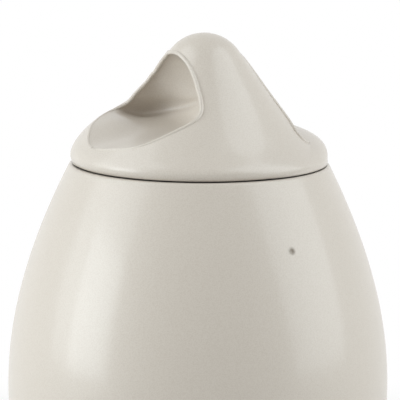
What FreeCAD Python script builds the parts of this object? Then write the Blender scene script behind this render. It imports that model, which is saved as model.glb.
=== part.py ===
import FreeCAD, Part
import math
import os

# A porcelain egg coddler for two eggs. An egg-shaped cup stands on its foot ring, a hollow
# lid closes its mouth, and a soft ring in a groove of the lid's skirt seals the two.
# The lid is a bell with a deep thumb hollow on one side and a finger hollow behind it.
# Millimetres, +Z up, origin at the centre of the foot, front of the object towards -Y.

# The cup
mouth_height = 76.0
mouth_radius = 24.6
mouth_lean = 27.0
shoulder_reach = 25.0
belly_radius = 36.3
belly_height = 33.0
belly_reach = 6.3
haunch_reach = 18.5
cup_wall = 3.2
floor_wall = 3.6
foot_radius = 18.6
foot_width = 3.0
foot_height = 1.3
foot_lean = 24.0
foot_reach = 10.5
foot_round = 0.4
bore_radius = 20.5
bore_depth = 8.0
bore_flare = 7.0
lip_round = 0.5
dimple_width = 1.2
dimple_depth = 0.3
dimple_drop = 12.4
dimple_azimuth = -55.6

# The bell that the lid is cut from, measured up from the seam
seam_gap = 0.25
lid_rise = 24.9
crown_radius = 8.0
crown_lean = 0.95
flank_slope = 54.0
flank_length = 6.4
saddle_radius = 18.3
saddle_height = 8.95
saddle_slope = 24.0
saddle_reach = 2.6
dome_reach = 1.6
rim_radius = 24.45
rim_height = 1.7
rim_reach = 3.0
rim_base_radius = 23.8
lid_wall = 2.8

# The skirt of the lid and its groove for the ring
skirt_clearance = 0.5
skirt_length = 6.2
skirt_wall = 3.4
groove_depth = 1.5
groove_height = 3.0
groove_drop = 1.6

# The sealing ring
ring_play = 0.05
ring_lip = 0.45
ring_lips = 2

# The slim side of the bell, which falls nearly straight to the rim
full_azimuth = 150.0
apron_radius = 20.5
apron_height = 4.9
apron_slope = 43.0
apron_reach = 4.5
slim_rim_radius = 24.15
slim_rim_height = 1.2
slim_rim_reach = 2.2
bell_sections = 16
bag_steps = 8
bag_round = (86, 66, 44, 22)
lid_hollow_height = 60.0

# The thumb hollow, open towards its azimuth: half widths and heights above the seam
thumb_azimuth = 206.0
thumb_offset = 6.3
thumb_depth = 7.5
thumb_waist = 12.0
thumb_fall = 9.6
thumb_outline = [
    (0, 21.3), (4.0, 20.8), (7.0, 18.8), (9.7, 15.9), (12.2, 12.9), (13.2, 11.3), (13.4, 10.0),
    (12.2, 8.4), (7.5, 7.5), (0, 7.4), (-8.0, 7.9), (-12.9, 8.5), (-12.2, 9.8), (-10.4, 11.6),
    (-9.6, 13.4), (-9.0, 15.4), (-6.6, 18.8), (-3.8, 20.8),
]
thumb_lift = 2.7
thumb_lift_reach = 6.0
thumb_lift_side = 13.0

# The finger hollow behind it
finger_azimuth = 43.0
finger_offset = 8.4
finger_depth = 4.4
finger_waist = 9.0
finger_outline = [
    (0, 22.6), (3.0, 22.0), (6.4, 18.8), (9.4, 13.7), (13.3, 8.4), (16.5, 4.5), (15.5, 1.6),
    (8.0, 1.0), (0, 1.0),
]

# The low flange that the finger hollow leaves, tipped up towards an azimuth
flange_azimuth = 70.0
flange_tip = 6.5
flange_crest = 6.2
flange_radius = 18.0
flange_height = 4.9
flange_slope = 13.0
flange_reach = 3.5
flange_rim_radius = 24.25
flange_offset = 0.2
flange_rim_height = 1.0
flange_rim_reach = 2.2


def at(radius, height):
    return FreeCAD.Vector(radius, 0, height)


def along(start, reach, degrees):
    """A point at a distance from another, in a direction measured from straight outwards."""
    angle = math.radians(degrees)
    return start + FreeCAD.Vector(reach * math.cos(angle), 0, reach * math.sin(angle))


def line(start, end):
    return Part.LineSegment(start, end).toShape()


def bezier(*poles):
    curve = Part.BezierCurve()
    curve.setPoles(list(poles))
    return curve.toShape()


def turned(edges):
    """The solid that a closed outline in the XZ plane makes when it turns about the Z axis."""
    face = Part.Face(Part.Wire(edges))
    solid = face.revolve(FreeCAD.Vector(0, 0, 0), FreeCAD.Vector(0, 0, 1), 360)
    return solid if solid.Volume > 0 else solid.reversed()


def cup_side(inset):
    """Outline of the cup's side from the mouth to the foot, moved inwards by an inset."""
    mouth = at(mouth_radius - inset / math.cos(math.radians(mouth_lean)), mouth_height)
    shoulder = along(mouth, shoulder_reach, mouth_lean - 90)
    belly = at(belly_radius - inset, belly_height)
    above = at(belly_radius - inset, belly_height + belly_reach)
    below = at(belly_radius - inset, belly_height - haunch_reach)
    return mouth, shoulder, above, belly, below


def cup():
    mouth, shoulder, above, belly, below = cup_side(0)
    ankle = at(foot_radius, foot_height)
    haunch = along(ankle, foot_reach, foot_lean)
    foot_inner = foot_radius - foot_width
    outline = [
        bezier(mouth, shoulder, above, belly),
        bezier(belly, below, haunch, ankle),
        line(ankle, at(foot_radius, 0)),
        line(at(foot_radius, 0), at(foot_inner, 0)),
        line(at(foot_inner, 0), at(foot_inner, foot_height)),
        line(at(foot_inner, foot_height), at(0, foot_height)),
        line(at(0, foot_height), at(0, mouth_height)),
        line(at(0, mouth_height), mouth),
    ]
    body = turned(outline)
    body = body.cut(cup_hollow())
    body = body.cut(dimple())
    rounds = ring_edges(body, mouth_height, (mouth_radius, bore_radius))
    body = body.makeFillet(lip_round, rounds)
    feet = ring_edges(body, 0, (foot_radius, foot_inner))
    return body.makeFillet(foot_round, feet)


def cup_hollow():
    """The bore of the mouth and the egg-shaped room below it."""
    belly, above, below = inner_belly()
    bore_end = at(bore_radius, mouth_height - bore_depth)
    flare = along(bore_end, bore_flare, -50)
    floor_height = foot_height + floor_wall
    heel = at(belly_radius / 2, floor_height)
    outline = [
        line(at(0, mouth_height), at(bore_radius, mouth_height)),
        line(at(bore_radius, mouth_height), bore_end),
        bezier(bore_end, flare, above, belly),
        bezier(belly, below, heel, at(0, floor_height)),
        line(at(0, floor_height), at(0, mouth_height)),
    ]
    return turned(outline)


def inner_belly():
    radius = belly_radius - cup_wall
    belly = at(radius, belly_height)
    above = at(radius, belly_height + shoulder_reach / 2)
    below = at(radius, belly_height - haunch_reach)
    return belly, above, below


def dimple():
    """A ball that presses the small dent into the shoulder, square to the side there."""
    mouth, shoulder, above, belly, below = cup_side(0)
    curve = Part.BezierCurve()
    curve.setPoles([mouth, shoulder, above, belly])
    level = mouth_height - dimple_drop
    place = FreeCAD.Vector(0, 0, 0)
    cut = curve.toShape().section(Part.makePlane(400, 400, FreeCAD.Vector(-200, -200, level)))
    if cut.Vertexes:
        place = cut.Vertexes[0].Point
    parameter = curve.parameter(place)
    tangent = curve.tangent(parameter)[0]
    outward = FreeCAD.Vector(-tangent.z, 0, tangent.x)
    if outward.x < 0:
        outward = outward.negative()
    radius = dimple_width ** 2 / (8 * dimple_depth) + dimple_depth / 2
    ball = Part.makeSphere(radius, place + outward * (radius - dimple_depth))
    ball.rotate(FreeCAD.Vector(0, 0, 0), FreeCAD.Vector(0, 0, 1), dimple_azimuth)
    return ball


def ring_edges(shape, level, radii):
    """The circular edges of a shape at one height whose radius is one of those given."""
    found = []
    for edge in shape.Edges:
        if edge.Degenerated or not isinstance(edge.Curve, Part.Circle):
            continue
        if abs(edge.Curve.Center.z - level) > 0.01:
            continue
        if any(abs(edge.Curve.Radius - radius) < 0.01 for radius in radii):
            found.append(edge)
    return found


def seam(height):
    """A height above the seam, as a height above the table."""
    return mouth_height + height


def height_curve(*poles):
    """A curve in the XZ plane, kept as geometry so that its radius can be read at a height."""
    curve = Part.BezierCurve()
    curve.setPoles(list(poles))
    return curve


def radius_at(curves, height):
    """The radius at which a falling outline, given as curves from the top down, meets a height."""
    for curve in curves:
        low, high = curve.FirstParameter, curve.LastParameter
        if curve.value(high).z > height:
            continue
        for _ in range(50):
            middle = (low + high) / 2
            if curve.value(middle).z > height:
                low = middle
            else:
                high = middle
        return curve.value(high).x
    return curves[-1].value(curves[-1].LastParameter).x


def flank_end(inset, lean):
    centre = at(lean, seam(lid_rise - crown_radius))
    start = along(centre, crown_radius - inset, 90 - flank_slope)
    return along(start, flank_length, -flank_slope)


def full_outline(inset):
    """The bell's outline on its full side: a saddle, then a dome that turns down to the rim."""
    flank = flank_end(inset, -crown_lean)
    saddle = along(at(saddle_radius, seam(saddle_height)), inset, -90 - saddle_slope)
    rim = at(rim_radius - inset, seam(rim_height))
    return [
        height_curve(flank, along(flank, saddle_reach, -flank_slope),
                     along(saddle, saddle_reach, 180 - saddle_slope), saddle),
        height_curve(saddle, along(saddle, dome_reach, -saddle_slope), along(rim, rim_reach, 90), rim),
        height_curve(rim, along(rim, (rim_height - seam_gap) / 2, -90),
                     at(rim_base_radius - inset, seam(seam_gap))),
    ]


def slim_outline(inset):
    """The bell's outline on its slim side: nearly straight from the flank to the rim."""
    flank = flank_end(inset, crown_lean)
    apron = along(at(apron_radius, seam(apron_height)), inset, -90 - apron_slope)
    rim = at(slim_rim_radius - inset, seam(slim_rim_height))
    return [
        height_curve(flank, along(flank, apron_reach, -flank_slope),
                     along(apron, apron_reach, 180 - apron_slope), apron),
        height_curve(apron, along(apron, slim_rim_reach, -apron_slope),
                     along(rim, slim_rim_height, 90), rim),
        height_curve(rim, along(rim, (slim_rim_height - seam_gap) / 2, -90),
                     at(rim_base_radius - inset, seam(seam_gap))),
    ]


def bell(inset):
    """The lid's outer form before the hollows, or the room inside it one wall inwards. At each
    height below the flank its section is a circle that touches the full outline on one side
    and the slim outline on the other."""
    centre = at(0, seam(lid_rise - crown_radius))
    crown = crown_radius - inset
    start = along(centre, crown, 90 - flank_slope)
    halfway = along(centre, crown, 90 - flank_slope / 2)
    top = along(centre, crown, 90)
    flank = flank_end(inset, 0)
    middle = at(0, flank.z)
    cap = turned([Part.Arc(top, halfway, start).toShape(), line(start, flank), line(flank, middle),
                  line(middle, top)])
    cap.translate(at(-crown_lean, 0))
    cap.rotate(FreeCAD.Vector(0, 0, 0), FreeCAD.Vector(0, 0, 1), full_azimuth)
    full = full_outline(inset)
    slim = slim_outline(inset)
    sections = []
    for index in range(bell_sections + 1):
        share = index / bell_sections
        height = flank.z - (flank.z - seam(seam_gap)) * math.sin(share * math.pi / 2)
        if index == bell_sections:
            height = seam(seam_gap)
        most = radius_at(full, height)
        least = radius_at(slim, height)
        circle = Part.Circle(at((most - least) / 2, height), FreeCAD.Vector(0, 0, 1), (most + least) / 2)
        sections.append(Part.Wire(circle.toShape()))
    skirt = Part.makeLoft(sections, True, False)
    skirt.rotate(FreeCAD.Vector(0, 0, 0), FreeCAD.Vector(0, 0, 1), full_azimuth)
    return cap.fuse(skirt)


def flange(inset):
    """The low domed flange that the finger hollow leaves, tipped up towards that hollow."""
    crest = at(0, seam(flange_crest - inset))
    shoulder = along(at(flange_radius, seam(flange_height)), inset, -90 - flange_slope)
    rim = at(flange_rim_radius - inset, seam(flange_rim_height))
    toe = at(flange_rim_radius - inset, seam(-rim_height * 2))
    edges = [
        bezier(crest, along(crest, flange_radius / 3, 0),
               along(shoulder, flange_radius / 3, 180 - flange_slope), shoulder),
        bezier(shoulder, along(shoulder, flange_reach, -flange_slope),
               along(rim, flange_rim_reach, 90), rim),
        line(rim, toe),
        line(toe, at(0, toe.z)),
        line(at(0, toe.z), crest),
    ]
    dome = turned(edges)
    pivot = at(0, seam(rim_height))
    dome.rotate(pivot, FreeCAD.Vector(0, 1, 0), -flange_tip)
    dome.translate(at(flange_offset, 0))
    dome.rotate(pivot, FreeCAD.Vector(0, 0, 1), flange_azimuth)
    size = 4 * rim_radius
    above = Part.makeBox(size, size, size, FreeCAD.Vector(-size / 2, -size / 2, seam(seam_gap)))
    return dome.common(above)


def bag(outline, offset, depth, waist, fall, lift, azimuth):
    """What a hollow takes away. The outline of its mouth is a loop of sideways places and
    heights above the seam. The mouth stands at an offset from the axis. Inwards it shrinks
    about its waist to a rounded end one depth further in, and outwards it runs on past the
    rim, falling at an angle, while a lift swells the floor on its left side."""
    sections = []
    for degrees in bag_round:
        angle = math.radians(degrees)
        place = offset - depth * math.sin(angle)
        sections.append(bag_section(outline, place, math.cos(angle), waist, 0, 0))
    drop = math.tan(math.radians(fall))
    for step in range(bag_steps + 1):
        reach = step * 2 * rim_radius / bag_steps
        swell = math.sin(math.pi / 2 * min(reach / thumb_lift_reach, 1)) * lift
        sections.append(bag_section(outline, offset + reach, 1, waist, -reach * drop, swell))
    solid = Part.makeLoft(sections, True, False)
    solid.rotate(FreeCAD.Vector(0, 0, 0), FreeCAD.Vector(0, 0, 1), azimuth)
    return solid


def bag_section(outline, place, scale, waist, shift, swell):
    points = []
    for sideways, height in outline:
        level = waist + (height - waist) * scale + shift
        level += swell * max(0, -sideways / thumb_lift_side)
        points.append(FreeCAD.Vector(place, sideways * scale, seam(level)))
    curve = Part.BSplineCurve()
    curve.interpolate(Points=points, PeriodicFlag=True)
    return Part.Wire(curve.toShape())


def grown(outline, grow, waist):
    """An outline made larger by about the same amount all round."""
    larger = []
    for sideways, height in outline:
        reach = math.hypot(sideways, height - waist)
        scale = 1 + grow / reach
        larger.append((sideways * scale, waist + (height - waist) * scale))
    return larger


def mirrored(outline):
    """The full loop of an outline that is given for its right half, from the top down."""
    return outline + [(-sideways, height) for sideways, height in reversed(outline) if sideways > 0]


def thumb_tool(grow):
    outline = grown(thumb_outline, grow, thumb_waist)
    return bag(outline, thumb_offset, thumb_depth + grow, thumb_waist, thumb_fall, thumb_lift,
               thumb_azimuth)


def finger_tool(grow):
    outline = grown(mirrored(finger_outline), grow, finger_waist)
    return bag(outline, finger_offset, finger_depth + grow, finger_waist, 0, 0, finger_azimuth)


def lid_form(inset):
    """The sculpted form of the lid, or the room inside it one wall inwards."""
    form = bell(inset).cut(finger_tool(inset))
    form = form.fuse(flange(inset))
    return form.cut(thumb_tool(inset))


def lid():
    body = lid_form(0)
    skirt_radius = bore_radius - skirt_clearance
    skirt = Part.makeCylinder(skirt_radius, skirt_length + seam_gap, at(0, seam(-skirt_length)))
    body = body.fuse(skirt).removeSplitter()
    body = body.cut(lid_hollow(skirt_radius - skirt_wall))
    return body.cut(groove(skirt_radius))


def lid_hollow(radius):
    room = lid_form(lid_wall)
    start = seam(-skirt_length - 1)
    limit = Part.makeCylinder(radius, lid_hollow_height, at(0, start))
    shaft = Part.makeCylinder(radius, seam(rim_height) - start, at(0, start))
    return room.common(limit).fuse(shaft)


def groove(skirt_radius):
    low = seam(-groove_drop - groove_height)
    outer = Part.makeCylinder(skirt_radius + 1, groove_height, at(0, low))
    return outer.cut(Part.makeCylinder(skirt_radius - groove_depth, groove_height, at(0, low)))


def sealing_ring():
    """A soft ring that fills the groove and reaches the bore with its rounded lips."""
    inner = bore_radius - skirt_clearance - groove_depth + ring_play
    outer = bore_radius - ring_play
    low = seam(-groove_drop - groove_height) + ring_play
    high = seam(-groove_drop) - ring_play
    edges = [line(at(inner, low), at(inner, high)), line(at(inner, high), at(outer - ring_lip, high))]
    step = (high - low) / ring_lips
    for index in range(ring_lips):
        start = at(outer - ring_lip, high - index * step)
        end = at(outer - ring_lip, high - (index + 1) * step)
        middle = at(outer, high - (index + 0.5) * step)
        edges.append(Part.Arc(start, middle, end).toShape())
    edges.append(line(at(outer - ring_lip, low), at(inner, low)))
    return turned(edges)


def main():
    os.makedirs("parts", exist_ok=True)
    pieces = {"cup": cup(), "lid": lid(), "sealing_ring": sealing_ring()}
    for name, shape in pieces.items():
        print(name, shape.isValid(), len(shape.Solids), round(shape.Volume, 1), shape.BoundBox)
        shape.exportStep("parts/" + name + ".step")


main()
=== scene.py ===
import math

import bmesh
import bpy
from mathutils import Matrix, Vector


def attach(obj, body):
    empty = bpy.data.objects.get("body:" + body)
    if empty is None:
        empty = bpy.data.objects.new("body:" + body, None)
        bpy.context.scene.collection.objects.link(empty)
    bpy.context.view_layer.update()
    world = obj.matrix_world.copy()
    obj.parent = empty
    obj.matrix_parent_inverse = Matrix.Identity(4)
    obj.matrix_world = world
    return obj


# A porcelain egg coddler on a white floor, between two large soft boxes and with a small one at
# its left. The CAD nodes carry the shape; this script gives them their glaze, rounds the edges of
# the lid and lights them. Metres, +Z up, front of the object towards -Y.
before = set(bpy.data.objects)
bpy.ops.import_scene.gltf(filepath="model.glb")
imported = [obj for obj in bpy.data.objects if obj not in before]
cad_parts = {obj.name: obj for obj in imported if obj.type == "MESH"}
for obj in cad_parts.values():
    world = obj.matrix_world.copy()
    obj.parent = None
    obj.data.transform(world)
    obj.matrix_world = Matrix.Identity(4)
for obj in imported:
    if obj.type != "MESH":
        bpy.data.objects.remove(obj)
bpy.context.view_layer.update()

# The photograph's view: a pixel's size on the object, and the camera's distance, tilt and aim
IMAGE_SIZE = 400
PIXEL = 0.00019
CAMERA_DISTANCE = 0.60
CAMERA_ELEVATION = 9.5
CAMERA_ROLL = 0.35
AIM_HEIGHT = 0.0689
AIM_SIDE = 0.0002
SENSOR = 36.0

# The studio
FLOOR_SIZE = 6.0
FLOOR_COLOUR = (0.80, 0.80, 0.79, 1)
FLOOR_ROUGHNESS = 0.9
FLOOR_NEAR = 0.06
FLOOR_FAR = 0.16
WHITE = (1, 1, 1, 1)
BOX_REACH = 0.55
BOX_FRONT = 0.10
BOX_HEIGHT = 0.42
BOX_WIDTH = 0.55
BOX_TALL = 0.95
BOX_COLOUR = (0.91, 0.97, 1.0)
LEFT_POWER = 3.2
RIGHT_POWER = 3.9
FILL_POWER = 1.0
FILL_PLACE = (-0.52, -0.20, 0.16)
FILL_SIZE = 0.30
WORLD_STRENGTH = 0.32
WORLD_COLOUR = (1.0, 0.955, 0.90, 1)

# The glaze, and the noise levels between which its colour goes from the grain's to its own
GLAZE = (0.60, 0.55, 0.487, 1)
GLAZE_GRAIN = (0.56, 0.505, 0.441, 1)
GLAZE_ROUGHNESS = 0.42
COAT_WEIGHT = 0.4
COAT_ROUGHNESS = 0.14
GRAIN_SIZE = 0.00022
GRAIN_LOW = 0.35
GRAIN_HIGH = 0.6
GRAIN_HEIGHT = 0.000008
GRAIN_STRENGTH = 0.5

# Painted shade in the seam under the lid: how far it reaches, and the open shares for full shade
# and none
SEAM_REACH = 0.0015
SEAM_SHUT = 0.05
SEAM_OPEN = 0.4
SEAM_SHADE_COLOUR = (0.05, 0.04, 0.03, 1)

# Painted shade in the cup's dimple, dark to its core's radius and gone at its edge's
DIMPLE_AZIMUTH = math.radians(-55.6)
DIMPLE_HEIGHT = 0.0636
DIMPLE_SHADE_CORE = 0.00035
DIMPLE_SHADE_EDGE = 0.0010
DIMPLE_SHADE_COLOUR = (0.33, 0.29, 0.24, 1)

# The sealing ring
RING_COLOUR = (0.020, 0.016, 0.013, 1)
RING_ROUGHNESS = 0.6

# The glazed edges: their rounding in the shader, and the beads on those above the lid's rim
EDGE_ROUND = 0.0006
NODE_SAMPLES = 8
WELD = 0.000002
BEAD_RADIUS = 0.00042
BEAD_SINK = 0.85
BEAD_LOWEST = 0.0805
BEAD_ANGLE = math.radians(28)
BEAD_SHORTEST = 0.004
BEAD_STEPS = 3

# The far wall of the lid's thumb hollow, which is fuller than the solid's
HOOD_PLACE = Vector((-0.0084, 0.0051, 0.0925))
HOOD_WAY = Vector((-0.94, 0.30, 0.17))
HOOD_SWELL = 0.0013
HOOD_REACH = 0.0080


def node(tree, kind, **sockets):
    """A shader node with some of its inputs set."""
    made = tree.nodes.new(kind)
    for name, value in sockets.items():
        made.inputs[name.replace("_", " ")].default_value = value
    return made


def colour_mix(tree, share, first):
    """A mix that starts from a first colour; the caller links or sets its second one."""
    mix = tree.nodes.new("ShaderNodeMix")
    mix.data_type = "RGBA"
    mix.inputs["A"].default_value = first
    tree.links.new(share, mix.inputs["Factor"])
    return mix


def glaze(name):
    """Satin off-white glaze with a fine grain in its colour and surface, and painted shade in the
    seam.
    """
    material = bpy.data.materials.new(name)
    material.use_nodes = True
    tree = material.node_tree
    shader = tree.nodes["Principled BSDF"]
    shader.inputs["Roughness"].default_value = GLAZE_ROUGHNESS
    shader.inputs["Coat Weight"].default_value = COAT_WEIGHT
    shader.inputs["Coat Roughness"].default_value = COAT_ROUGHNESS
    place = tree.nodes.new("ShaderNodeTexCoord")
    grain = node(tree, "ShaderNodeTexNoise", Scale=1 / GRAIN_SIZE, Detail=1.0)
    tree.links.new(place.outputs["Object"], grain.inputs["Vector"])
    level = node(tree, "ShaderNodeMapRange", From_Min=GRAIN_LOW, From_Max=GRAIN_HIGH)
    tree.links.new(grain.outputs["Fac"], level.inputs["Value"])
    colour = colour_mix(tree, level.outputs["Result"], GLAZE_GRAIN)
    colour.inputs["B"].default_value = GLAZE
    # Painted shade: the colour goes dark where ambient occlusion finds near surfaces, as in the
    # seam under the lid
    shade = node(tree, "ShaderNodeAmbientOcclusion", Distance=SEAM_REACH)
    shade.samples = NODE_SAMPLES
    open_share = node(tree, "ShaderNodeMapRange", From_Min=SEAM_SHUT, From_Max=SEAM_OPEN)
    tree.links.new(shade.outputs["AO"], open_share.inputs["Value"])
    shaded = colour_mix(tree, open_share.outputs["Result"], SEAM_SHADE_COLOUR)
    tree.links.new(colour.outputs["Result"], shaded.inputs["B"])
    tree.links.new(shaded.outputs["Result"], shader.inputs["Base Color"])
    rounding = node(tree, "ShaderNodeBevel", Radius=EDGE_ROUND)
    rounding.samples = NODE_SAMPLES
    bump = node(tree, "ShaderNodeBump", Distance=GRAIN_HEIGHT, Strength=GRAIN_STRENGTH)
    tree.links.new(grain.outputs["Fac"], bump.inputs["Height"])
    tree.links.new(rounding.outputs["Normal"], bump.inputs["Normal"])
    tree.links.new(bump.outputs["Normal"], shader.inputs["Normal"])
    tree.links.new(rounding.outputs["Normal"], shader.inputs["Coat Normal"])
    return material


def paint_dimple_shade(cup, material):
    """Darkens the glaze in the small dimple in the side of the cup with painted shade."""
    way = Vector((math.cos(DIMPLE_AZIMUTH), math.sin(DIMPLE_AZIMUTH), 0))
    outside = way + Vector((0, 0, DIMPLE_HEIGHT))
    _, place, _, _ = cup.ray_cast(outside, -way)
    tree = material.node_tree
    shader = tree.nodes["Principled BSDF"]
    plain = shader.inputs["Base Color"].links[0].from_socket
    here = tree.nodes.new("ShaderNodeTexCoord")
    gap = tree.nodes.new("ShaderNodeVectorMath")
    gap.operation = "DISTANCE"
    gap.inputs[1].default_value = place
    tree.links.new(here.outputs["Object"], gap.inputs[0])
    # Painted shade: the glaze colour goes dark around the dimple's middle
    fade = node(tree, "ShaderNodeMapRange", From_Min=DIMPLE_SHADE_CORE, From_Max=DIMPLE_SHADE_EDGE)
    tree.links.new(gap.outputs["Value"], fade.inputs["Value"])
    colour = colour_mix(tree, fade.outputs["Result"], DIMPLE_SHADE_COLOUR)
    tree.links.new(plain, colour.inputs["B"])
    tree.links.new(colour.outputs["Result"], shader.inputs["Base Color"])


def silicone():
    """Matt dark silicone for the sealing ring."""
    material = bpy.data.materials.new("silicone")
    material.use_nodes = True
    shader = material.node_tree.nodes["Principled BSDF"]
    shader.inputs["Base Color"].default_value = RING_COLOUR
    shader.inputs["Roughness"].default_value = RING_ROUGHNESS
    return material


def paint(piece, material):
    """Gives a piece one material in place of those it has."""
    piece.data.materials.clear()
    piece.data.materials.append(material)


def marker(name, place):
    """A point that rides with the lid, for a modifier to measure from."""
    point = bpy.data.objects.new(name, None)
    bpy.context.scene.collection.objects.link(point)
    point.location = place
    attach(point, "lid")
    return point


def fuller_hood(lid):
    """Swells the far wall of the thumb hollow outwards, most in the middle of its edge."""
    swell = lid.modifiers.new("swell", "WARP")
    swell.object_from = marker("swell_from", HOOD_PLACE)
    swell.object_to = marker("swell_to", HOOD_PLACE + HOOD_WAY * HOOD_SWELL)
    swell.falloff_type = "SMOOTH"
    swell.falloff_radius = HOOD_REACH


def is_sharp(edge):
    """Whether an edge lies above the lid's rim and turns outwards by more than the bead angle."""
    low = min(vertex.co.z for vertex in edge.verts)
    if low <= BEAD_LOWEST or len(edge.link_faces) != 2:
        return False
    return edge.calc_face_angle_signed() > BEAD_ANGLE


def sharp_runs(mesh):
    """The mesh's sharp edges end to end, each run as a list of (place, outward way)."""
    form = bmesh.new()
    form.from_mesh(mesh)
    bmesh.ops.remove_doubles(form, verts=form.verts, dist=WELD)
    form.normal_update()
    # A dict keeps the edges in their order, so the runs come out the same each time
    sharp = dict.fromkeys(edge for edge in form.edges if is_sharp(edge))
    runs = []
    while sharp:
        first, _ = sharp.popitem()
        run = list(first.verts)
        for end in (0, -1):
            while True:
                tip = run[end]
                following = [edge for edge in tip.link_edges if edge in sharp]
                if not following:
                    break
                del sharp[following[0]]
                run.insert(0 if end == 0 else len(run), following[0].other_vert(tip))
        runs.append([(vertex.co.copy(), vertex.normal.copy()) for vertex in run])
    form.free()
    return runs


def run_length(run):
    """The length of a run from end to end."""
    return sum((a[0] - b[0]).length for a, b in zip(run, run[1:]))


def glaze_beads(lid, material):
    """The glaze rounds each sharp edge of the lid with a thin bead, sunk into the edge."""
    seen = lid.evaluated_get(bpy.context.evaluated_depsgraph_get())
    data = bpy.data.curves.new("glaze_beads", "CURVE")
    data.dimensions = "3D"
    data.bevel_depth = BEAD_RADIUS
    data.bevel_resolution = BEAD_STEPS
    data.use_fill_caps = True
    for run in sharp_runs(seen.to_mesh()):
        if run_length(run) < BEAD_SHORTEST:
            continue
        spline = data.splines.new("POLY")
        spline.points.add(len(run) - 1)
        for point, (place, way) in zip(spline.points, run):
            point.co = (*(place - way * BEAD_RADIUS * BEAD_SINK), 1)
    beads = bpy.data.objects.new("glaze_beads", data)
    bpy.context.scene.collection.objects.link(beads)
    beads.data.materials.append(material)
    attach(beads, "lid")


def seen_ray(tree):
    """1 for rays from the camera and for those that a glossy or clear surface sends on."""
    path = tree.nodes.new("ShaderNodeLightPath")
    total = path.outputs["Is Camera Ray"]
    for name in ("Is Glossy Ray", "Is Transmission Ray"):
        larger = tree.nodes.new("ShaderNodeMath")
        larger.operation = "MAXIMUM"
        tree.links.new(total, larger.inputs[0])
        tree.links.new(path.outputs[name], larger.inputs[1])
        total = larger.outputs["Value"]
    return total


def floor():
    """A pale floor that keeps the shadow near the foot and shows white further out."""
    bpy.ops.mesh.primitive_plane_add(size=FLOOR_SIZE)
    plane = bpy.context.object
    plane.name = "floor"
    material = bpy.data.materials.new("floor")
    material.use_nodes = True
    tree = material.node_tree
    shader = tree.nodes["Principled BSDF"]
    shader.inputs["Base Color"].default_value = FLOOR_COLOUR
    shader.inputs["Roughness"].default_value = FLOOR_ROUGHNESS
    place = tree.nodes.new("ShaderNodeTexCoord")
    reach = tree.nodes.new("ShaderNodeVectorMath")
    reach.operation = "LENGTH"
    tree.links.new(place.outputs["Object"], reach.inputs[0])
    fade = node(tree, "ShaderNodeMapRange", From_Min=FLOOR_NEAR, From_Max=FLOOR_FAR)
    fade.interpolation_type = "SMOOTHSTEP"
    tree.links.new(reach.outputs["Value"], fade.inputs["Value"])
    share = tree.nodes.new("ShaderNodeMath")
    share.operation = "MULTIPLY"
    tree.links.new(seen_ray(tree), share.inputs[0])
    tree.links.new(fade.outputs["Result"], share.inputs[1])
    white = node(tree, "ShaderNodeEmission", Color=WHITE, Strength=1.0)
    mix = tree.nodes.new("ShaderNodeMixShader")
    tree.links.new(share.outputs["Value"], mix.inputs["Fac"])
    tree.links.new(shader.outputs["BSDF"], mix.inputs[1])
    tree.links.new(white.outputs["Emission"], mix.inputs[2])
    tree.links.new(mix.outputs["Shader"], tree.nodes["Material Output"].inputs["Surface"])
    paint(plane, material)


def backdrop():
    """A world that is white to the camera and a soft warm light to the object."""
    world = bpy.data.worlds.new("studio")
    bpy.context.scene.world = world
    world.use_nodes = True
    tree = world.node_tree
    soft = tree.nodes["Background"]
    soft.inputs["Color"].default_value = WORLD_COLOUR
    soft.inputs["Strength"].default_value = WORLD_STRENGTH
    white = node(tree, "ShaderNodeBackground", Color=WHITE, Strength=1.0)
    mix = tree.nodes.new("ShaderNodeMixShader")
    tree.links.new(seen_ray(tree), mix.inputs["Fac"])
    tree.links.new(soft.outputs["Background"], mix.inputs[1])
    tree.links.new(white.outputs["Background"], mix.inputs[2])
    tree.links.new(mix.outputs["Shader"], tree.nodes["World Output"].inputs["Surface"])


def soft_box(name, place, aim, wide, tall, power):
    """A soft box turned towards a place on the object."""
    light = bpy.data.lights.new(name, "AREA")
    light.shape = "RECTANGLE"
    light.size = wide
    light.size_y = tall
    light.energy = power
    light.color = BOX_COLOUR
    lamp = bpy.data.objects.new(name, light)
    bpy.context.scene.collection.objects.link(lamp)
    lamp.location = place
    away = Vector(aim) - lamp.location
    lamp.rotation_euler = away.to_track_quat("-Z", "Y").to_euler()


def camera():
    """A camera whose lens gives the photograph's scale at the object's axis."""
    data = bpy.data.cameras.new("camera")
    data.sensor_width = SENSOR
    data.lens = SENSOR * CAMERA_DISTANCE / (IMAGE_SIZE * PIXEL)
    body = bpy.data.objects.new("camera", data)
    bpy.context.scene.collection.objects.link(body)
    bpy.context.scene.camera = body
    tilt = math.radians(CAMERA_ELEVATION)
    back = Vector((0, -math.cos(tilt), math.sin(tilt)))
    aim = Vector((AIM_SIDE, 0, AIM_HEIGHT))
    body.location = aim + back * CAMERA_DISTANCE
    body.rotation_euler = (-back).to_track_quat("-Z", "Y").to_euler()
    body.rotation_euler.rotate_axis("Z", math.radians(CAMERA_ROLL))


bpy.context.scene.view_settings.view_transform = "Standard"
cup_glaze = glaze("cup_glaze")
lid_glaze = glaze("lid_glaze")
paint(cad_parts["cup"], cup_glaze)
paint_dimple_shade(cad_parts["cup"], cup_glaze)
paint(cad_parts["lid"], lid_glaze)
paint(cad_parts["sealing_ring"], silicone())
fuller_hood(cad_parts["lid"])
glaze_beads(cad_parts["lid"], lid_glaze)
floor()
backdrop()
middle = (0, 0, AIM_HEIGHT)
soft_box("left_box", (-BOX_REACH, -BOX_FRONT, BOX_HEIGHT), middle, BOX_WIDTH, BOX_TALL, LEFT_POWER)
soft_box("right_box", (BOX_REACH, -BOX_FRONT, BOX_HEIGHT), middle, BOX_WIDTH, BOX_TALL, RIGHT_POWER)
soft_box("fill_box", FILL_PLACE, middle, FILL_SIZE, FILL_SIZE, FILL_POWER)
camera()
